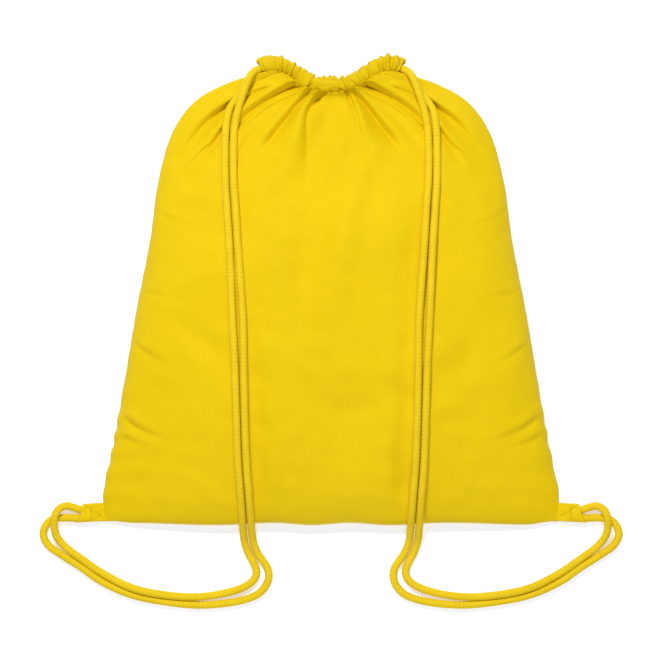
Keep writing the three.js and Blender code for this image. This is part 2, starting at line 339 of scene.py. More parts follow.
def woven_cotton(name, light, dark):
    """Plain weave drawn from the thread coordinates, which are in millimetres of the flat cloth."""
    finish = Finish(name)
    thread = finish.node("ShaderNodeUVMap", uv_map="thread").outputs["UV"]
    split = finish.node("ShaderNodeSeparateXYZ")
    finish.links.new(thread, split.inputs[0])
    yarns = []
    for axis in ("X", "Y"):
        phase = finish.calc("MULTIPLY", split.outputs[axis], math.pi / WEAVE_PITCH)
        yarns.append(finish.calc("ABSOLUTE", finish.calc("SINE", phase)))
    weave = finish.calc("MULTIPLY", *yarns)

    # Thick and thin places run a long way along a thread and only a thread's width across it.
    slubs = []
    for stretch in ((SLUB_ACROSS, SLUB_ALONG, 1), (SLUB_ALONG, SLUB_ACROSS, 1)):
        stretched = finish.node("ShaderNodeVectorMath", operation="MULTIPLY")
        stretched.inputs[1].default_value = stretch
        finish.links.new(thread, stretched.inputs[0])
        slubs.append(finish.noise(stretched.outputs[0], 1.0, 3.0, 0.6))
    slub = finish.calc("MULTIPLY", finish.calc("ADD", *slubs), 0.5)

    blotch = finish.noise(finish.object_place(), 22.0, 4.0, 0.55)
    shade = finish.weighted_sum((slub, 0.8), (weave, 0.16), (blotch, 0.35))
    finish.colour(shade, dark, light, 0.42, 0.92)
    finish.bump(finish.weighted_sum((weave, 1.0), (slub, 0.9)), 0.5, 0.12)
    rough = finish.calc("ADD", finish.calc("MULTIPLY", slub, 0.16), 0.5)
    finish.links.new(rough, finish.shader.inputs["Roughness"])
    finish.set_inputs(Specular_IOR_Level=0.08)
    finish.set_inputs(Sheen_Weight=0.01, Sheen_Roughness=0.5, Sheen_Tint=SHEEN_TINT)
    return finish.material


def braided_cotton(name, light, dark):
    """Soft yarn with painted shade in its grooves: the groove attribute runs from 0 in a gap to 1 on a
    yarn, and the colour is darker towards 0.
    """
    finish = Finish(name)
    groove = finish.node("ShaderNodeAttribute", attribute_name="groove").outputs["Fac"]
    place = finish.object_place()
    fibre = finish.noise(place, 900.0, 3.0, 0.65)
    patch = finish.noise(place, 60.0, 2.0)
    # The groove term is painted shade between the yarns; the fibre and patch noise are the yarn's own
    # uneven tone.
    shade = finish.weighted_sum((groove, 0.7), (fibre, 0.3), (patch, 0.2))
    finish.colour(shade, dark, light, 0.25, 0.85)
    finish.bump(fibre, 0.6, 0.25)
    finish.set_inputs(Roughness=0.82, Specular_IOR_Level=0.12)
    finish.set_inputs(Sheen_Weight=0.06, Sheen_Roughness=0.45, Sheen_Tint=SHEEN_TINT)
    return finish.material


def sewing_thread(name, light, dark):
    finish = Finish(name)
    twist = finish.noise(finish.object_place(), 1500.0, 2.0)
    finish.colour(twist, dark, light, 0.35, 0.65)
    finish.bump(twist, 0.5, 0.1)
    finish.set_inputs(Roughness=0.7, Specular_IOR_Level=0.12)
    return finish.material


PANEL = woven_cotton("panel_cotton", (0.8, 0.57, 0.003), (0.7, 0.482, 0.001))
HEM = woven_cotton("hem_cotton", (0.74, 0.52, 0.003), (0.63, 0.43, 0.001))
# The cord's dark colour is painted shade, reached in the gaps between its yarns.
CORD = braided_cotton("cord_cotton", (0.84, 0.6, 0.012), (0.42, 0.27, 0.001))
THREAD = sewing_thread("thread", (0.82, 0.585, 0.006), (0.68, 0.465, 0.003))


# --- the cords: made first, because the cloth gives way under them ---------------------------

CARRIERS = 8
BRAID_PHASE_PER_MM = 2.1
BRAID_RELIEF = 0.6
BRAID_CREST = 0.35
YARN_ROUNDNESS = 0.7
YARN_UP = 0.28
CORD_SIDES = 24
RING_STEP = 0.62
BEND_REACH = 12.0
BEND_PART = 0.85
EAR_DROOP = 0.02
EAR_DROOP_FROM_X = 44


def frames_along(line):
    """Two unit vectors across the line at each of its points, carried along without twist."""
    tangent = np.gradient(line, axis=0)
    tangent /= np.linalg.norm(tangent, axis=1)[:, None]
    first = np.cross(tangent[0], [0.3, 0.2, 1.0])
    normals = [first / np.linalg.norm(first)]
    for t in tangent[1:]:
        n = normals[-1] - t * normals[-1].dot(t)
        normals.append(n / np.linalg.norm(n))
    normals = np.array(normals)
    return normals, np.cross(tangent, normals)


def yarn_height(phase):
    """Height across a set of yarns side by side: 1 on top of each and 0 in the gaps."""
    return np.abs(np.cos(phase / 2)) ** YARN_ROUNDNESS


def braid_height(angle, along):
    """Height of a round braid: two sets of yarns that wind opposite ways and pass over and under."""
    turn = CARRIERS * angle
    climb = BRAID_PHASE_PER_MM * along
    over = YARN_UP * np.cos(turn)
    right = yarn_height(turn + climb) * (1 - YARN_UP + over)
    left = yarn_height(turn - climb) * (1 - YARN_UP - over)
    return np.maximum(right, left)


def braided_tube(name, line, start_along):
    """A braided cord along a line; start_along keeps the braid in step from piece to piece."""
    count = max(8, round(distances_along(line)[-1] / RING_STEP))
    centres = evenly(line, count)
    angle = around(CORD_SIDES)
    along = start_along + distances_along(centres)
    height = braid_height(angle[None, :], along[:, None])
    radius = CORD_RADIUS + BRAID_CREST - BRAID_RELIEF * (1 - height)
    points = tube_points(centres, radius, angle, *frames_along(centres))
    points[:, 2] = np.maximum(points[:, 2], FLOOR_GAP)
    faces = capped_tube_faces(count + 1, CORD_SIDES)
    uv = np.stack(np.broadcast_arrays(angle[None, :], along[:, None]), axis=-1).reshape(-1, 2)
    # The braid's height also goes to the colour as the groove attribute, which paints shade into the
    # gaps between the yarns.
    piece = add_mesh(name, points, faces, CORD, uv, {"groove": height})
    return piece, centres


def add_free_cord(side, sign, name, route):
    """The three pieces of one strand: over the shoulder, the stretch that swings, and the tail.

    The fixed pieces reach a little past the swinging stretch's ends."""
    shoulder, swinging, tail = route
    whole = smooth_line(mirrored(shoulder + swinging[1:] + tail[1:], sign))
    along = distances_along(whole)
    strap = f"{side}_strap"

    def place(at):
        return np.array([np.interp(at, along, whole[:, k]) for k in range(3)])

    first, last = mirrored([swinging[0], swinging[-1]], sign)
    joints = [along[np.linalg.norm(whole - end, axis=1).argmin()] for end in (first, last)]
    cuts = [0, joints[0] + BEND_REACH, joints[1] - BEND_REACH, along[-1]]
    lines = []
    for part, low, high in zip(("shoulder", "strand", "tail"), cuts, cuts[1:]):
        inside = whole[(along > low) & (along < high)]
        line = np.vstack([place(low), inside, place(high)])
        piece, centres = braided_tube(f"{side}_{name}_braid_{part}", line, low)
        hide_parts(f"{side}_{name}_cord_{part}")
        if part == "strand":
            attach(piece, strap)
        else:
            joint, onward = (joints[0], 1) if part == "shoulder" else (joints[1], -1)
            reach = onward * BEND_REACH * BEND_PART
            start, end = place(joint - reach), place(joint + reach)
            if part == "tail":
                # A tail doubles back in x, so only y tells its fixed end from its moving one
                end[[0, 2]] = start[[0, 2]]
            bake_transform(piece)
        lines.append(centres)
    return np.vstack(lines)


def lip_rise(x):
    along = np.clip((np.abs(x) - LIP_LEVEL_LENGTH) / LIP_RISE_LENGTH, 0, 1)
    return LIP_RISE * (1 - np.cos(math.pi * along)) / 2


def casing_centre(x, is_front):
    """The middle line of a casing: it dips at the middle of the mouth and droops past the ears."""
    rise = lip_rise(x)
    droop = EAR_DROOP * np.maximum(np.abs(x) - EAR_DROOP_FROM_X, 0) ** 2
    if is_front:
        z = FRONT_CASING_Z + 0.5 * MOUTH_LIFT * (1 - rise / LIP_RISE)
    else:
        z = REAR_CASING_Z + 0 * x
    return np.stack([x, LIP_Y + rise - droop, z], axis=-1)


def beside_in_casing(travel, sign, is_front):
    """Direction in y and z from a casing's middle line to a cord in it, as travel goes from 0 where
    the cord enters to 1 at the far end: the two cords swap places on the way."""
    turn = math.pi * travel
    return -np.cos(turn), sign * np.sin(turn) * (1 if is_front else -1)


def add_channel_run(side, sign):
    """A cord's stretch inside the casings, with its bight outside the far ear."""
    travel = np.linspace(0, 1, 25)

    def through(is_front):
        spot = casing_centre(lerp(-CASING_HALF_LENGTH, CASING_HALF_LENGTH, travel), is_front)
        y, z = beside_in_casing(travel, sign, is_front)
        spot[:, 1] += CORD_PAIR_RADIUS * y
        spot[:, 2] += CORD_PAIR_RADIUS * z
        spot[:, 0] *= -sign
        return spot

    front, rear = through(True), through(False)
    turn = np.radians([45, 90, 135])
    bight = np.stack([
        front[-1, 0] - sign * HALF_MOUTH_GAP * np.sin(turn),
        np.full(3, front[-1, 1]),
        front[-1, 2] - HALF_MOUTH_GAP * (1 - np.cos(turn)),
    ], axis=-1)
    line = smooth_line(np.vstack([front, bight, rear[::-1]]), per_span=8)
    piece, _ = braided_tube(f"{side}_braid_in_casings", line, 0.0)
    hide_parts(f"{side}_cord_channel_run")
    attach(piece, "bag")


cord_lines = []
for side, sign in SIDES:
    cord_lines.append(add_free_cord(side, sign, "front", FRONT_ROUTE))
    cord_lines.append(add_free_cord(side, sign, "rear", REAR_ROUTE))
    add_channel_run(side, sign)


# --- the panels ------------------------------------------------------------------------------

PANEL_COLUMNS = 360
PANEL_ROWS = 360
FLAT_WIDTH = 357.0
FLAT_HEIGHT = 372.0
SIDE_STEPS = 400
BELLY_TOP = 0.45
BODY_SQUARENESS = 2.4
HALF_SEAM_GAP = 0.5
BORDER_ROLL = 1.7
NECK_DROP = 4.4
NECK_SWELL = 4.6
NECK_SWELL_TO_X = 90
EDGE_OVER_CASING = 5.5

# Wrinkles that follow the border are spaced by v times this many millimetres
BORDER_RUN = 450.0

side_line = evenly(smooth_line(SIDE_SEAM), SIDE_STEPS)
side_at = np.linspace(0, 1, SIDE_STEPS + 1)


def side_x(v):
    return np.interp(v, side_at, side_line[:, 0])


def plan_point(u, v):
    """A panel point in plan: u from -1 at the left seam to 1 at the right, v from 0 at the bottom
    edge to 1 inside the casing."""
    side_y = np.interp(v, side_at, side_line[:, 1])
    middle_y = lerp(-BAG_HALF_HEIGHT, LIP_Y - NECK_DROP, 1 - (1 - v) ** 1.5)
    x = side_x(v) * u
    body = np.abs(u) ** BODY_SQUARENESS
    lip = lip_rise(x) / LIP_RISE
    return x, lerp(middle_y, side_y, lerp(body, lip, smoothstep(v, 0.85, 1)))


def flat_uv(u, v):
    """Thread coordinates: millimetres on the flat cloth."""
    return np.stack([u * FLAT_WIDTH / 2, v * FLAT_HEIGHT], axis=-1).reshape(-1, 2)


def seam_z(u, v):
    corner = (1 - smoothstep(v, 0, 0.35)) * u ** 4
    side = lerp(SEAM_HEIGHT, CORNER_SEAM_HEIGHT, corner)
    return lerp(side, REAR_CASING_Z + HALF_MOUTH_GAP, smoothstep(v, 0.7, 1))


def mouth_spread(v):
    """How far a panel stands off the seam's height close to the mouth."""
    return HALF_MOUTH_GAP * smoothstep(v, 0.94, 1)


def front_z(u, v):
    """The front panel's outer surface before any fold."""
    rise = (1 - (1 - np.minimum(v / BELLY_TOP, 1)) ** 2.4) ** 0.6
    fall = (1 + np.cos(math.pi * np.maximum(v - BELLY_TOP, 0) / (1 - BELLY_TOP))) / 2
    belly = np.where(v < BELLY_TOP, BELLY_HEIGHT * rise, lerp(MOUTH_LIFT, BELLY_HEIGHT, fall))
    across = np.maximum(1 - np.abs(u) ** BODY_SQUARENESS, 0) ** 0.6
    inside = np.sqrt(np.maximum((1 - np.abs(u) ** 16) * (1 - (1 - v) ** 24), 0))
    body = seam_z(u, v) + HALF_SEAM_GAP + mouth_spread(v) + belly * across + BORDER_ROLL * inside
    x, _ = plan_point(u, v)
    swell = NECK_SWELL * smoothstep(v, 0.6, 0.88) * np.maximum(1 - (x / NECK_SWELL_TO_X) ** 2, 0)
    edge = casing_centre(x, True)[..., 2] + EDGE_OVER_CASING
    return lerp(body + swell * inside, edge, smoothstep(v, 0.9, 1) * inside)


def rear_z(u, v):
    """The rear panel's outer surface before any fold: flat on the ground, turned up at its border."""
    side_turn = np.maximum(0, (np.abs(u) - 0.6) / 0.4)
    bottom_turn = np.maximum(0, 1 - v / 0.25)
    inside = (1 - side_turn ** 3) * (1 - bottom_turn ** 4)
    border = seam_z(u, v) - HALF_SEAM_GAP - mouth_spread(v)
    neck = lerp(FLOOR_GAP, REAR_CASING_Z, smoothstep(v, 0.85, 1))
    return lerp(border, neck, inside)


# A fold is a line in plan with its width and depth at its start, then at its end. These are
# crisp: the cloth rolls over on the upper side of the line and turns sharply at it. They run on both
# sides of the bag.
MIRRORED_FOLDS = [
    ([(-20, 162), (-36, 155.5), (-47, 149.5), (-57, 143.2), (-67, 135), (-73, 127)], 3.8, 3.6, 5, 2.4),
    ([(-30, 151), (-40, 146.5), (-50, 140.5), (-59, 133.5), (-70, 123)], 1.8, 1.0, 1.8, 0.7),
    ([(-48, 134), (-57, 126), (-65, 116), (-71, 105)], 6.0, 1.1, 7.0, 1.5),
    ([(-19, 152), (-26, 144.3), (-32, 136.5), (-38, 128.7), (-44, 121)], 3.6, 3.2, 5.2, 3.0),
    ([(-79.8, 144), (-90.5, 136.5), (-101, 127), (-112, 113)], 3.6, 3.4, 4.6, 0.9),
    ([(-84, 125), (-92, 113), (-99, 102)], 3.2, 2.6, 3.8, 0.8),
    ([(-99, 109), (-107, 101), (-114, 93)], 2.6, 1.2, 2.6, 0.3),
    ([(-53, 156), (-66, 151), (-78, 143)], 2.4, 1.3, 2.6, 0.6),
    ([(-155, -41), (-145, -48), (-132, -57)], 3.0, 1.4, 3.6, 0.2),
    ([(-163, -99), (-150, -108), (-136, -114)], 3.4, 2.0, 4.2, 0.4),
    ([(-166, -112), (-156, -118), (-146, -121)], 3.0, 1.2, 3.2, 0.3),
    ([(-147, -1), (-138, -3), (-127, -5)], 3.0, 0.9, 3.4, 0.2),
    ([(-137, 62), (-128, 56), (-116, 52)], 3.4, 0.8, 4.0, 0.2),
]
# These stand alone, where the two sides of the bag differ.
SINGLE_FOLDS = [
    ([(-9, 150), (-15, 143), (-18.5, 135), (-19, 114)], 4.0, 3.6, 7.5, 1.2),
    ([(14, 150), (18.5, 139), (21.5, 126)], 3.0, 2.4, 4.0, 1.2),
]
# These are broad and soft. A valley has a positive depth, a swelling a negative one.
SOFT_FOLDS = [
    ([(-3, 134), (-7, 118), (-12, 102), (-19, 70), (-22, 31)], 8.0, 1.1, 16.0, 1.9),
    ([(22, 86), (16, 66), (9, 39), (0, 0)], 8.0, -1.3, 11.0, -1.0),
    ([(-40, 70), (-46, 40), (-50, 5)], 9.0, 1.3, 11.0, 0.4),
    ([(95, -60), (70, -78), (30, -88)], 10.0, 0.9, 13.0, 0.5),
    ([(-100, -40), (-70, -62), (-36, -74)], 10.0, 0.8, 13.0, 0.5),
    ([(-62, 60), (-60, -30), (-58, -100), (-57, -150)], 7.0, 0.2, 7.0, 1.2),
    ([(62, 60), (60, -30), (58, -100), (57, -150)], 7.0, 0.2, 7.0, 1.2),
    ([(-24, 130), (-34, 108), (-40, 86)], 9.0, -1.6, 12.0, -0.5),
    ([(24, 126), (36, 106), (44, 84)], 9.0, -1.6, 12.0, -0.5),
]

# What the lists' depths, and the widths of the crisp folds, are multiplied by
CRISP_DEPTH = 2.6
CRISP_WIDTH = 1.2
SOFT_DEPTH = 2.0
CRISP_VALLEY = 0.65
FOLD_STEPS = 24


def crisp_fold(r):
    """Height across a crisp fold, against the distance to its upper side in fold widths."""
    r = r / CRISP_WIDTH
    rise = np.sin(math.pi / 2 * np.clip(r, 0, 1))
    above = rise - 0.35 * smoothstep(r, 1.0, 2.8) - CRISP_VALLEY
    below = -CRISP_VALLEY * np.exp(-np.maximum(-r, 0) / 0.75)
    return CRISP_DEPTH * np.where(r > 0, above, below)


def soft_fold(r):
    """Height across a soft fold, against the distance from its line in fold widths."""
    return SOFT_DEPTH * furrow(r, 0.36, 1.9, 0.85)


def fold_height(x, y):
    """The summed height of all the folds at plan points."""
    folds = [(crisp_fold, *fold) for fold in MIRRORED_FOLDS + SINGLE_FOLDS]
    folds += [(crisp_fold, mirrored(points, -1), *sizes) for points, *sizes in MIRRORED_FOLDS]
    folds += [(soft_fold, *fold) for fold in SOFT_FOLDS]
    height = np.zeros(x.shape)
    for profile, points, width_0, depth_0, width_1, depth_1 in folds:
        line = evenly(smooth_line(points), FOLD_STEPS)
        leans = 1 if line[-1, 0] > line[0, 0] else -1
        margin = 7 * max(width_0, width_1)
        near = ((x > line[:, 0].min() - margin) & (x < line[:, 0].max() + margin)
                & (y > line[:, 1].min() - margin) & (y < line[:, 1].max() + margin))
        px, py = x[near], y[near]
        away = np.hypot(px[:, None] - line[None, :, 0], py[:, None] - line[None, :, 1])
        best = away.argmin(1)
        t = best / FOLD_STEPS
        a = line[np.maximum(best - 1, 0)]
        d = line[np.minimum(best + 1, FOLD_STEPS)] - a
        length = np.hypot(d[:, 0], d[:, 1])
        s = ((px - a[:, 0]) * d[:, 0] + (py - a[:, 1]) * d[:, 1]) / length ** 2
        offset = leans * (d[:, 0] * (py - a[:, 1]) - d[:, 1] * (px - a[:, 0])) / length
        beyond = np.maximum(np.maximum(-s, s - 1) * length, 0)
        width = lerp(width_0, width_1, t)
        depth = lerp(depth_0, depth_1, t) * bell(beyond, 0, 2.5 * width)
        height[near] += depth * profile(offset / width)
    return height


def gathers(u, v, seed):
    """Fine pleats that leave the casing and die away below it, at uneven spacings."""
    rng = np.random.RandomState(seed)
    warp = u + 0.02 * np.sin(7 * u + rng.uniform(0, 6)) + 0.012 * np.sin(17 * u + rng.uniform(0, 6))
    fine = np.cos(2 * math.pi * 11.5 * warp + 1.1)
    coarse = np.cos(2 * math.pi * 6.0 * warp + 0.4)
    x, _ = plan_point(u, v)
    middle = 1 - 0.75 * smoothstep(np.abs(x), 16, 42)
    fine_part = 0.8 * fine * smoothstep(v, 0.92, 0.985)
    return (fine_part + 1.1 * coarse * smoothstep(v, 0.87, 0.97)) * middle


def puckers(u, v):
    """Small wrinkles that the side seams draw into the cloth, strongest low down, and each point's
    distance from its side seam."""
    along = v * BORDER_RUN
    side = np.sign(u)
    edge = (1 - np.abs(u)) * side_x(v)
    uneven = 2.4 * np.sin(along / 31 + side) + 1.3 * np.sin(along / 13) + side
    strength = 0.12 + 0.6 * bell(along, 70, 40)
    fade = 1 - smoothstep(v, 0.72, 0.9)
    return np.sin(along * 2 * math.pi / 19 + uneven) * strength * fade, edge


PRESS_REACH = 12.0
PRESS_GAP = 0.05
PRESS_SPREAD = 0.06
PRESS_SOFTNESS = 0.4
CORDS_ON_BAG_FROM_Y = -186
CORDS_ON_BAG_TO_Y = 164


def under_cords(points):
    """Presses the cloth down wherever a cord lies on it."""
    lines = np.vstack(cord_lines)
    lines = lines[(lines[:, 1] > CORDS_ON_BAG_FROM_Y) & (lines[:, 1] < CORDS_ON_BAG_TO_Y)]
    tree = KDTree(len(lines))
    for i, p in enumerate(lines):
        tree.insert((p[0], p[1], 0), i)
    tree.balance()
    for p in points:
        _, i, away = tree.find((p[0], p[1], 0))
        if away > PRESS_REACH:
            continue
        under = lines[i][2] - math.sqrt(max(CORD_RADIUS ** 2 - min(away, CORD_RADIUS) ** 2, 0))
        limit = under - PRESS_GAP + max(away - CORD_RADIUS, 0) ** 2 * PRESS_SPREAD
        if p[2] > limit - PRESS_SOFTNESS:
            p[2] = limit - PRESS_SOFTNESS * math.log1p(math.exp((limit - p[2]) / PRESS_SOFTNESS))
    return points


def panel_points(is_front):
    broad_seed, fine_seed, pleat_seed = (3, 4, 5) if is_front else (13, 14, 15)
    spread = np.linspace(-1, 1, PANEL_COLUMNS + 1)
    columns = 0.4 * spread + 0.6 * np.sin(math.pi / 2 * spread)
    rows = 1 - (1 - np.linspace(0, 1, PANEL_ROWS + 1)) ** 1.2
    v, u = np.meshgrid(rows, columns, indexing="ij")
    x, y = plan_point(u, v)
    up = v * BORDER_RUN
    wrinkle, edge = puckers(u, v)
    x = x + 0.9 * wrinkle * np.exp(-edge / 6) * np.sign(u)
    y = y + 0.9 * np.sin(x / 13.0 + 1.2 * np.sin(x / 37)) * (1 - np.abs(u) ** 8) * np.exp(-up / 7)
    y = y + 1.8 * smoothstep(np.abs(u), 0.86, 0.97) * np.exp(-up / 9)
    inner = (1 - bell(edge, 0, 9)) * (1 - bell(up, 0, 12)) * (1 - smoothstep(v, 0.985, 1))
    soft = 0.7 * wave_noise(x, y, 55, 120, broad_seed) + 0.2 * wave_noise(x, y, 16, 34, fine_seed)
    folds = fold_height(x, y)
    pleats = gathers(u, v, pleat_seed)
    side_wrinkles = wrinkle * np.exp(-edge / 13) * (1 - np.exp(-edge / 3)) * 1.3
    if is_front:
        z = front_z(u, v) + (folds + soft) * inner + side_wrinkles + pleats
    else:
        lift = 0.45 * np.maximum(-folds, 0) + 0.35 * np.abs(soft)
        z = rear_z(u, v) + lift * inner + np.abs(side_wrinkles) * 0.6
        z = z + np.abs(pleats) * 0.8 * smoothstep(v, 0.8, 0.95)
    return np.stack([x, y, z], axis=-1).reshape(-1, 3), flat_uv(u, v)


def add_panel(name, is_front):
    points, uv = panel_points(is_front)
    if is_front:
        points = under_cords(points)
    faces = grid_faces(PANEL_ROWS + 1, PANEL_COLUMNS + 1, flip=not is_front)
    piece = add_mesh(f"{name}_cloth", points, faces, PANEL, uv)
    thicken(piece, "cloth thickness", CLOTH, -1)
    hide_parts(name)
    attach(piece, "bag")
    return piece


front_cloth = add_panel("front_panel", True)
rear_cloth = add_panel("rear_panel", False)


# --- the seam allowances inside the bag ------------------------------------------------------

SEAM_STEPS = 120
SEAM_ACROSS = 6
SEAM_LAYERS = 0.7


def add_seam(name, u, v):
    """A strip of two layers with a wavy free edge, between the panels; u and v are grids."""
    x, y = plan_point(u, v)
    free = np.linspace(0, 1, SEAM_ACROSS)[None, :]
    wave = 0.18 * np.sin(np.arange(SEAM_STEPS) * 0.9)[:, None] * free
    points = np.stack([x, y, seam_z(u, v) + wave], axis=-1).reshape(-1, 3)
    faces = grid_faces(SEAM_STEPS, SEAM_ACROSS)
    piece = add_mesh(f"{name}_allowance", points, faces, HEM, flat_uv(u, v))
    thicken(piece, "two layers", SEAM_LAYERS, 0)
    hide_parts(name)
    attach(piece, "bag")


def seam_grid(along, across):
    """A seam's two coordinates as grids, each given by its first and last value."""
    lines = np.linspace(*along, SEAM_STEPS), np.linspace(*across, SEAM_ACROSS)
    return np.meshgrid(*lines, indexing="ij")


for side, sign in SIDES:
    v, inward = seam_grid((0.075, 0.9), (1.5, 9))
    add_seam(f"{side}_side_seam", sign * (1 - inward / side_x(v)), v)
u, v = seam_grid((-0.92, 0.92), (0.003, 0.018))
add_seam("bottom_seam", u, v)


# --- the casings and their stitching ---------------------------------------------------------

EAR_LENGTH = 54.5
CASING_RINGS = 300
CASING_SIDES = 64
CASING_CLOTH = 0.7
DRAWN_RADIUS = 6.75
LEAST_RADIUS = 4.6
MOST_RADIUS = 9.2
MOST_INNER_RADIUS = 6.3

# Deep tucks: place along the mouth, slant and depth
DEEP_TUCKS = [
    (-40.5, -1.8, 1.0), (-36.7, -1.5, 1.8), (-32.8, -1.0, 2.0), (-28.6, -0.6, 2.6), (-14.5, 1.6, 2.4),
    (8.5, -2.6, 2.4), (14.5, -2.2, 1.6), (29.5, 1.2, 1.6), (37.6, 1.0, 1.3), (41.4, 1.2, 1.5),
    (45.0, 1.6, 0.8),
]
# Where the drawn tubes are fuller or thinner: place along the mouth, width and height
SWELLINGS = [(-22, 7, 0.9), (-9, 4, -0.9), (24, 8, 0.5), (4, 4, -0.7), (-45, 5, 0.9), (45, 5, 0.9)]


def ruche(x, angle, seed):
    """How the cloth of a drawn casing departs from a round tube: uneven tucks that run round it."""
    rng = np.random.RandomState(seed)
    height = 0.35 * np.cos(angle * 3 + x / 9.0) + 0.25 * np.cos(angle * 2 - x / 6.0)
    at = -EAR_LENGTH - 2.0
    while at < EAR_LENGTH:
        at += rng.uniform(3.8, 9.0)
        slant = rng.uniform(-2.6, 2.6)
        bend = rng.uniform(-1.4, 1.4)
        width = rng.uniform(0.8, 1.5)
        depth = rng.uniform(0.9, 2.2)
        facing = rng.uniform(0, 2 * math.pi)
        line = at + slant * np.cos(angle - facing) + bend * np.cos(2 * angle)
        reach = 0.55 + 0.45 * np.cos(angle - facing)
        height = height + depth * reach * furrow((x - line) / width, 0.35, 2.0, 0.9)
    for at, slant, depth in DEEP_TUCKS:
        height = height + depth * furrow(x - at - slant * np.cos(angle), 0.25, 2.2, 1.1)
    return height


def cords_reach(x, angle, is_front):
    """How far the two cords inside a casing reach from its middle line, in each direction."""
    reach = np.zeros(np.broadcast(x, angle).shape)
    for _, sign in SIDES:
        travel = np.clip((CASING_HALF_LENGTH - sign * x) / (2 * CASING_HALF_LENGTH), 0, 1)
        y, z = beside_in_casing(travel, sign, is_front)
        turn = angle - np.arctan2(z, y)
        aside = CORD_PAIR_RADIUS * np.sin(turn)
        chord = np.sqrt(np.maximum((CORD_RADIUS + BRAID_CREST) ** 2 - aside ** 2, 0))
        ahead = CORD_PAIR_RADIUS * np.cos(turn) + chord
        reach = np.maximum(reach, np.where((chord > 0) & (ahead > 0), ahead, 0))
    return reach


def add_casing(name, is_front, seed):
    x_line = np.linspace(-EAR_LENGTH, EAR_LENGTH, CASING_RINGS)
    centres = casing_centre(x_line, is_front)
    tangent = np.gradient(centres, axis=0)
    tangent /= np.linalg.norm(tangent, axis=1)[:, None]
    across = np.cross([0, 0, 1.0], tangent)
    across /= np.linalg.norm(across, axis=1)[:, None]
    over = np.cross(tangent, across)
    angle = around(CASING_SIDES)
    x, turn = x_line[:, None], angle[None, :]
    swell = sum(height * bell(x, at, width) for at, width, height in SWELLINGS)
    flare = 0.7 * smoothstep(np.abs(x), 48, EAR_LENGTH) * np.cos(3 * turn + 1)
    tip = 2.1 * smoothstep(np.abs(x), 51, EAR_LENGTH + 0.6) ** 2
    outer = DRAWN_RADIUS + ruche(x, turn, seed) + swell + flare - tip
    outer = np.clip(outer, np.maximum(cords_reach(x, turn, is_front) + 0.2, LEAST_RADIUS), MOST_RADIUS)
    inner = np.minimum(outer - CASING_CLOTH, MOST_INNER_RADIUS)
    points = np.vstack([tube_points(centres, r, angle, across, over) for r in (outer, inner)])
    points[:, 2] = np.maximum(points[:, 2], FLOOR_GAP)
    faces = sleeve_faces(CASING_RINGS, CASING_SIDES)
    flat = np.broadcast_arrays(x * FLAT_WIDTH / 2 / EAR_LENGTH, turn * CASING_RADIUS)
    uv = np.tile(np.stack(flat, axis=-1).reshape(-1, 2), (2, 1))
    piece = add_mesh(f"{name}_ruched", points, faces, HEM, uv)
    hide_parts(name)
    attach(piece, "bag")
    return piece


STITCH_SIDES = 8
STITCH_RINGS = 5
STITCH_ROW = PANEL_ROWS - 14
STITCH_PITCH = 2.9


def stitches(name, ends, radius, node):
    """One rounded thread between each pair of ends, thinner towards both."""
    angle = around(STITCH_SIDES)
    points, faces = [], []
    for start, end in ends:
        start, end = np.array(start, float), np.array(end, float)
        direction = (end - start) / np.linalg.norm(end - start)
        side = np.cross(direction, [0.1, 0.2, 1.0])
        side /= np.linalg.norm(side)
        other = np.cross(direction, side)
        base = len(points)
        for t in np.linspace(0, 1, STITCH_RINGS):
            bulge = radius * math.sin(math.pi * (0.12 + 0.76 * t)) ** 0.5
            centre = lerp(start, end, t)
            points += [centre + bulge * (math.cos(a) * side + math.sin(a) * other) for a in angle]
        faces += [tuple(base + i for i in f) for f in capped_tube_faces(STITCH_RINGS, STITCH_SIDES)]
    piece = add_mesh(name, points, faces, THREAD)
    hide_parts(node)
    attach(piece, "bag")
    return piece


def add_casing_stitch(name, cloth, is_front, node):
    """A row of lockstitch on the panel, close under the casing, following its pleats."""
    columns = PANEL_COLUMNS + 1
    co = np.zeros(len(cloth.data.vertices) * 3, np.float32)
    cloth.data.vertices.foreach_get("co", co)
    line = co.reshape(-1, 3)[STITCH_ROW * columns:(STITCH_ROW + 1) * columns] / MM
    line = line[4:-4] + np.array([0, 0, 0.15 if is_front else -0.1])
    count = int(distances_along(line)[-1] / STITCH_PITCH)
    spots = evenly(line, count * 4)
    ends = [(spots[4 * i], spots[4 * i + 3]) for i in range(count)]
    return stitches(name, ends, 0.26, node)


front_casing = add_casing("front_casing", True, 21)
rear_casing = add_casing("rear_casing", False, 34)
front_stitch = add_casing_stitch("front_casing_thread", front_cloth, True, "front_casing_stitch")
rear_stitch = add_casing_stitch("rear_casing_thread", rear_cloth, False, "rear_casing_stitch")


# --- the corner tabs -------------------------------------------------------------------------

TAB_MOUTH_X = 196.8
TAB_ROOT_X = 173.5
TAB_MOUTH_Y = -174.7
TAB_ROOT_Y = -173.6
TAB_MOUTH_Z = 3.9
TAB_ROOT_Z = 3.0
TAB_RINGS = 60
TAB_SIDES = 96
TAB_SQUARENESS = 3.2
TAB_CLOTH = 0.75
BARTACK_X = 187.0
BARTACK_WIDTH = 1.4
BARTACK_STITCHES = 40


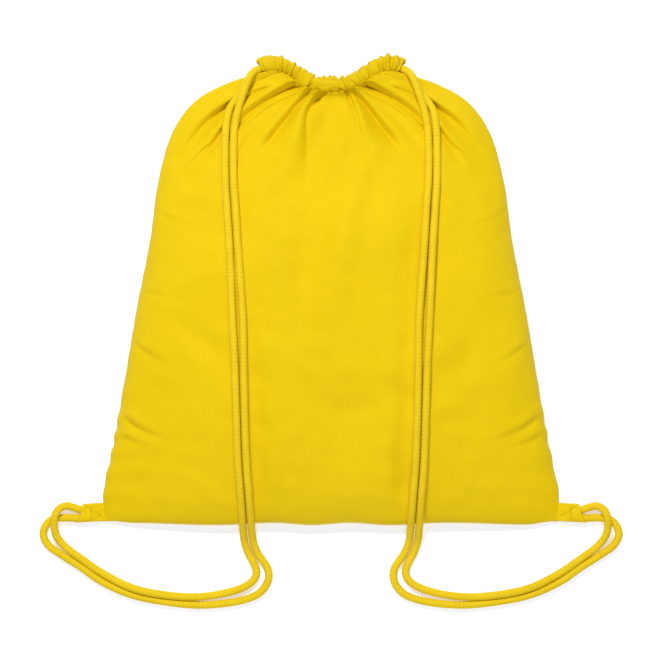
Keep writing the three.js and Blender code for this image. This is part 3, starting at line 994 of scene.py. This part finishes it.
def tab_shells(sign):
    """The outer and the inner surface of a corner tab, as points ring by ring."""
    along = np.linspace(0, 1, TAB_RINGS)[:, None]
    angle = around(TAB_SIDES)[None, :]
    closing = smoothstep(along, 0.35, 0.95)
    half_height = lerp(3.75, 0.8, closing)
    c, s = np.cos(angle), np.sin(angle)
    y_part = np.sign(c) * np.abs(c) ** (2 / TAB_SQUARENESS)
    z_part = np.sign(s) * np.abs(s) ** (2 / TAB_SQUARENESS)
    # The strip's upper layer ends along a line that crosses the tab from its outer corner
    below = 4.4 - 15 * (along - 0.22) - 7 * y_part
    step = 1.5 * smoothstep(below, -0.5, 0.5) * np.exp(-np.maximum(below, 0) / 2.8)
    tuck = 0.7 * bell(7 * y_part - 9 * along, -1.5, 0.9) * smoothstep(along, 0.3, 0.6)
    dent = (step * smoothstep(along, 0.06, 0.2) + tuck) * (s > 0)
    ripple = 0.2 * np.cos(5 * angle + 9 * along) * smoothstep(along, 0.1, 0.5)
    mouth_cut = (0.6 * np.cos(2 * angle) - 3.2 * c) * (1 - along) ** 2
    x = lerp(TAB_MOUTH_X, TAB_ROOT_X, along) + mouth_cut
    shells = []
    for inset in (0.0, TAB_CLOTH):
        width = lerp(7.4, 7.2, along) - inset
        height = np.maximum(half_height - inset, 0.08)
        y = lerp(TAB_MOUTH_Y, TAB_ROOT_Y, along) + width * y_part
        z = lerp(TAB_MOUTH_Z, TAB_ROOT_Z, closing) + height * z_part
        z = z + (ripple - dent) * np.minimum(height / 2, 1)
        z = np.maximum(z, 0.06 + inset * 0.1)
        shells.append(np.stack(np.broadcast_arrays(sign * x, y, z), axis=-1).reshape(-1, 3))
    uv = np.stack(np.broadcast_arrays(26 * along, angle * 4.5), axis=-1).reshape(-1, 2)
    return shells, np.tile(uv, (2, 1))


def add_corner_tab(side, sign):
    """A strip folded over the cord's two ends: a flat sleeve that narrows into the corner seam."""
    shells, uv = tab_shells(sign)
    faces = sleeve_faces(TAB_RINGS, TAB_SIDES, sign > 0)
    piece = add_mesh(f"{side}_tab_folded", np.vstack(shells), faces, PANEL, uv)
    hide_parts(f"{side}_corner_tab")
    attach(piece, "bag")
    return shells[0]


def add_bartack(side, sign, tab):
    """A close zigzag of thread across the tab, laid on its upper face."""
    upper = tab[tab[:, 2] > TAB_MOUTH_Z]
    spots = []
    for i in range(BARTACK_STITCHES + 1):
        x = sign * (BARTACK_X + (BARTACK_WIDTH if i % 2 else 0))
        y = lerp(TAB_MOUTH_Y - 5.4, TAB_MOUTH_Y + 6.0, i / BARTACK_STITCHES)
        nearest = np.hypot(upper[:, 0] - x, upper[:, 1] - y).argmin()
        spots.append((x, y, upper[nearest, 2] + 0.12))
    stitches(f"{side}_tab_thread", list(zip(spots, spots[1:])), 0.2, f"{side}_tab_bartack")


for side, sign in SIDES:
    tab = add_corner_tab(side, sign)
    add_bartack(side, sign, tab)


# --- floor, light and camera -----------------------------------------------------------------

FLOOR_HALF = 8.0
CAMERA_LENS = 200
CAMERA_SENSOR = 36
VIEW_WIDTH = 0.5148
SUBJECT_HEIGHT = 0.018


def add_floor():
    mesh = bpy.data.meshes.new("floor")
    corners = [(x * FLOOR_HALF, y * FLOOR_HALF, 0) for x, y in ((-1, -1), (1, -1), (1, 1), (-1, 1))]
    mesh.from_pydata(corners, [], [(0, 1, 2, 3)])
    floor = bpy.data.objects.new("floor", mesh)
    bpy.context.scene.collection.objects.link(floor)
    finish = Finish("pale_floor")
    finish.set_inputs(Base_Color=(0.7, 0.75, 0.92, 1), Roughness=0.9, Specular_IOR_Level=0.1)
    finish.set_inputs(Emission_Color=(1, 1, 1, 1), Emission_Strength=0.42)
    mesh.materials.append(finish.material)


def add_area_light(name, place, size, power):
    """A round lamp that points at the middle of the bag."""
    light = bpy.data.lights.new(name, "AREA")
    light.shape = "DISK"
    light.size = size
    light.energy = power
    lamp = bpy.data.objects.new(name, light)
    lamp.location = place
    lamp.rotation_euler = (-Vector(place)).to_track_quat("-Z", "Y").to_euler()
    bpy.context.scene.collection.objects.link(lamp)


def add_lights():
    world = bpy.data.worlds.new("studio")
    bpy.context.scene.world = world
    world.use_nodes = True
    background = world.node_tree.nodes["Background"]
    background.inputs["Color"].default_value = (1, 1, 1, 1)
    background.inputs["Strength"].default_value = 0.34
    add_area_light("key", (-0.25, 1.3, 1.8), 0.45, 42)
    add_area_light("front", (0.1, -1.8, 1.6), 1.0, 19)


def add_camera():
    """Straight above the bag, so far off that the picture has almost no perspective."""
    camera = bpy.data.cameras.new("camera")
    camera.lens = CAMERA_LENS
    camera.sensor_width = CAMERA_SENSOR
    camera.clip_end = 20
    holder = bpy.data.objects.new("camera", camera)
    distance = VIEW_WIDTH * CAMERA_LENS / CAMERA_SENSOR
    holder.location = (-0.0008, -0.0312, SUBJECT_HEIGHT + distance)
    bpy.context.scene.collection.objects.link(holder)
    bpy.context.scene.camera = holder


add_floor()
add_lights()
add_camera()
bpy.context.scene.view_settings.view_transform = "Standard"
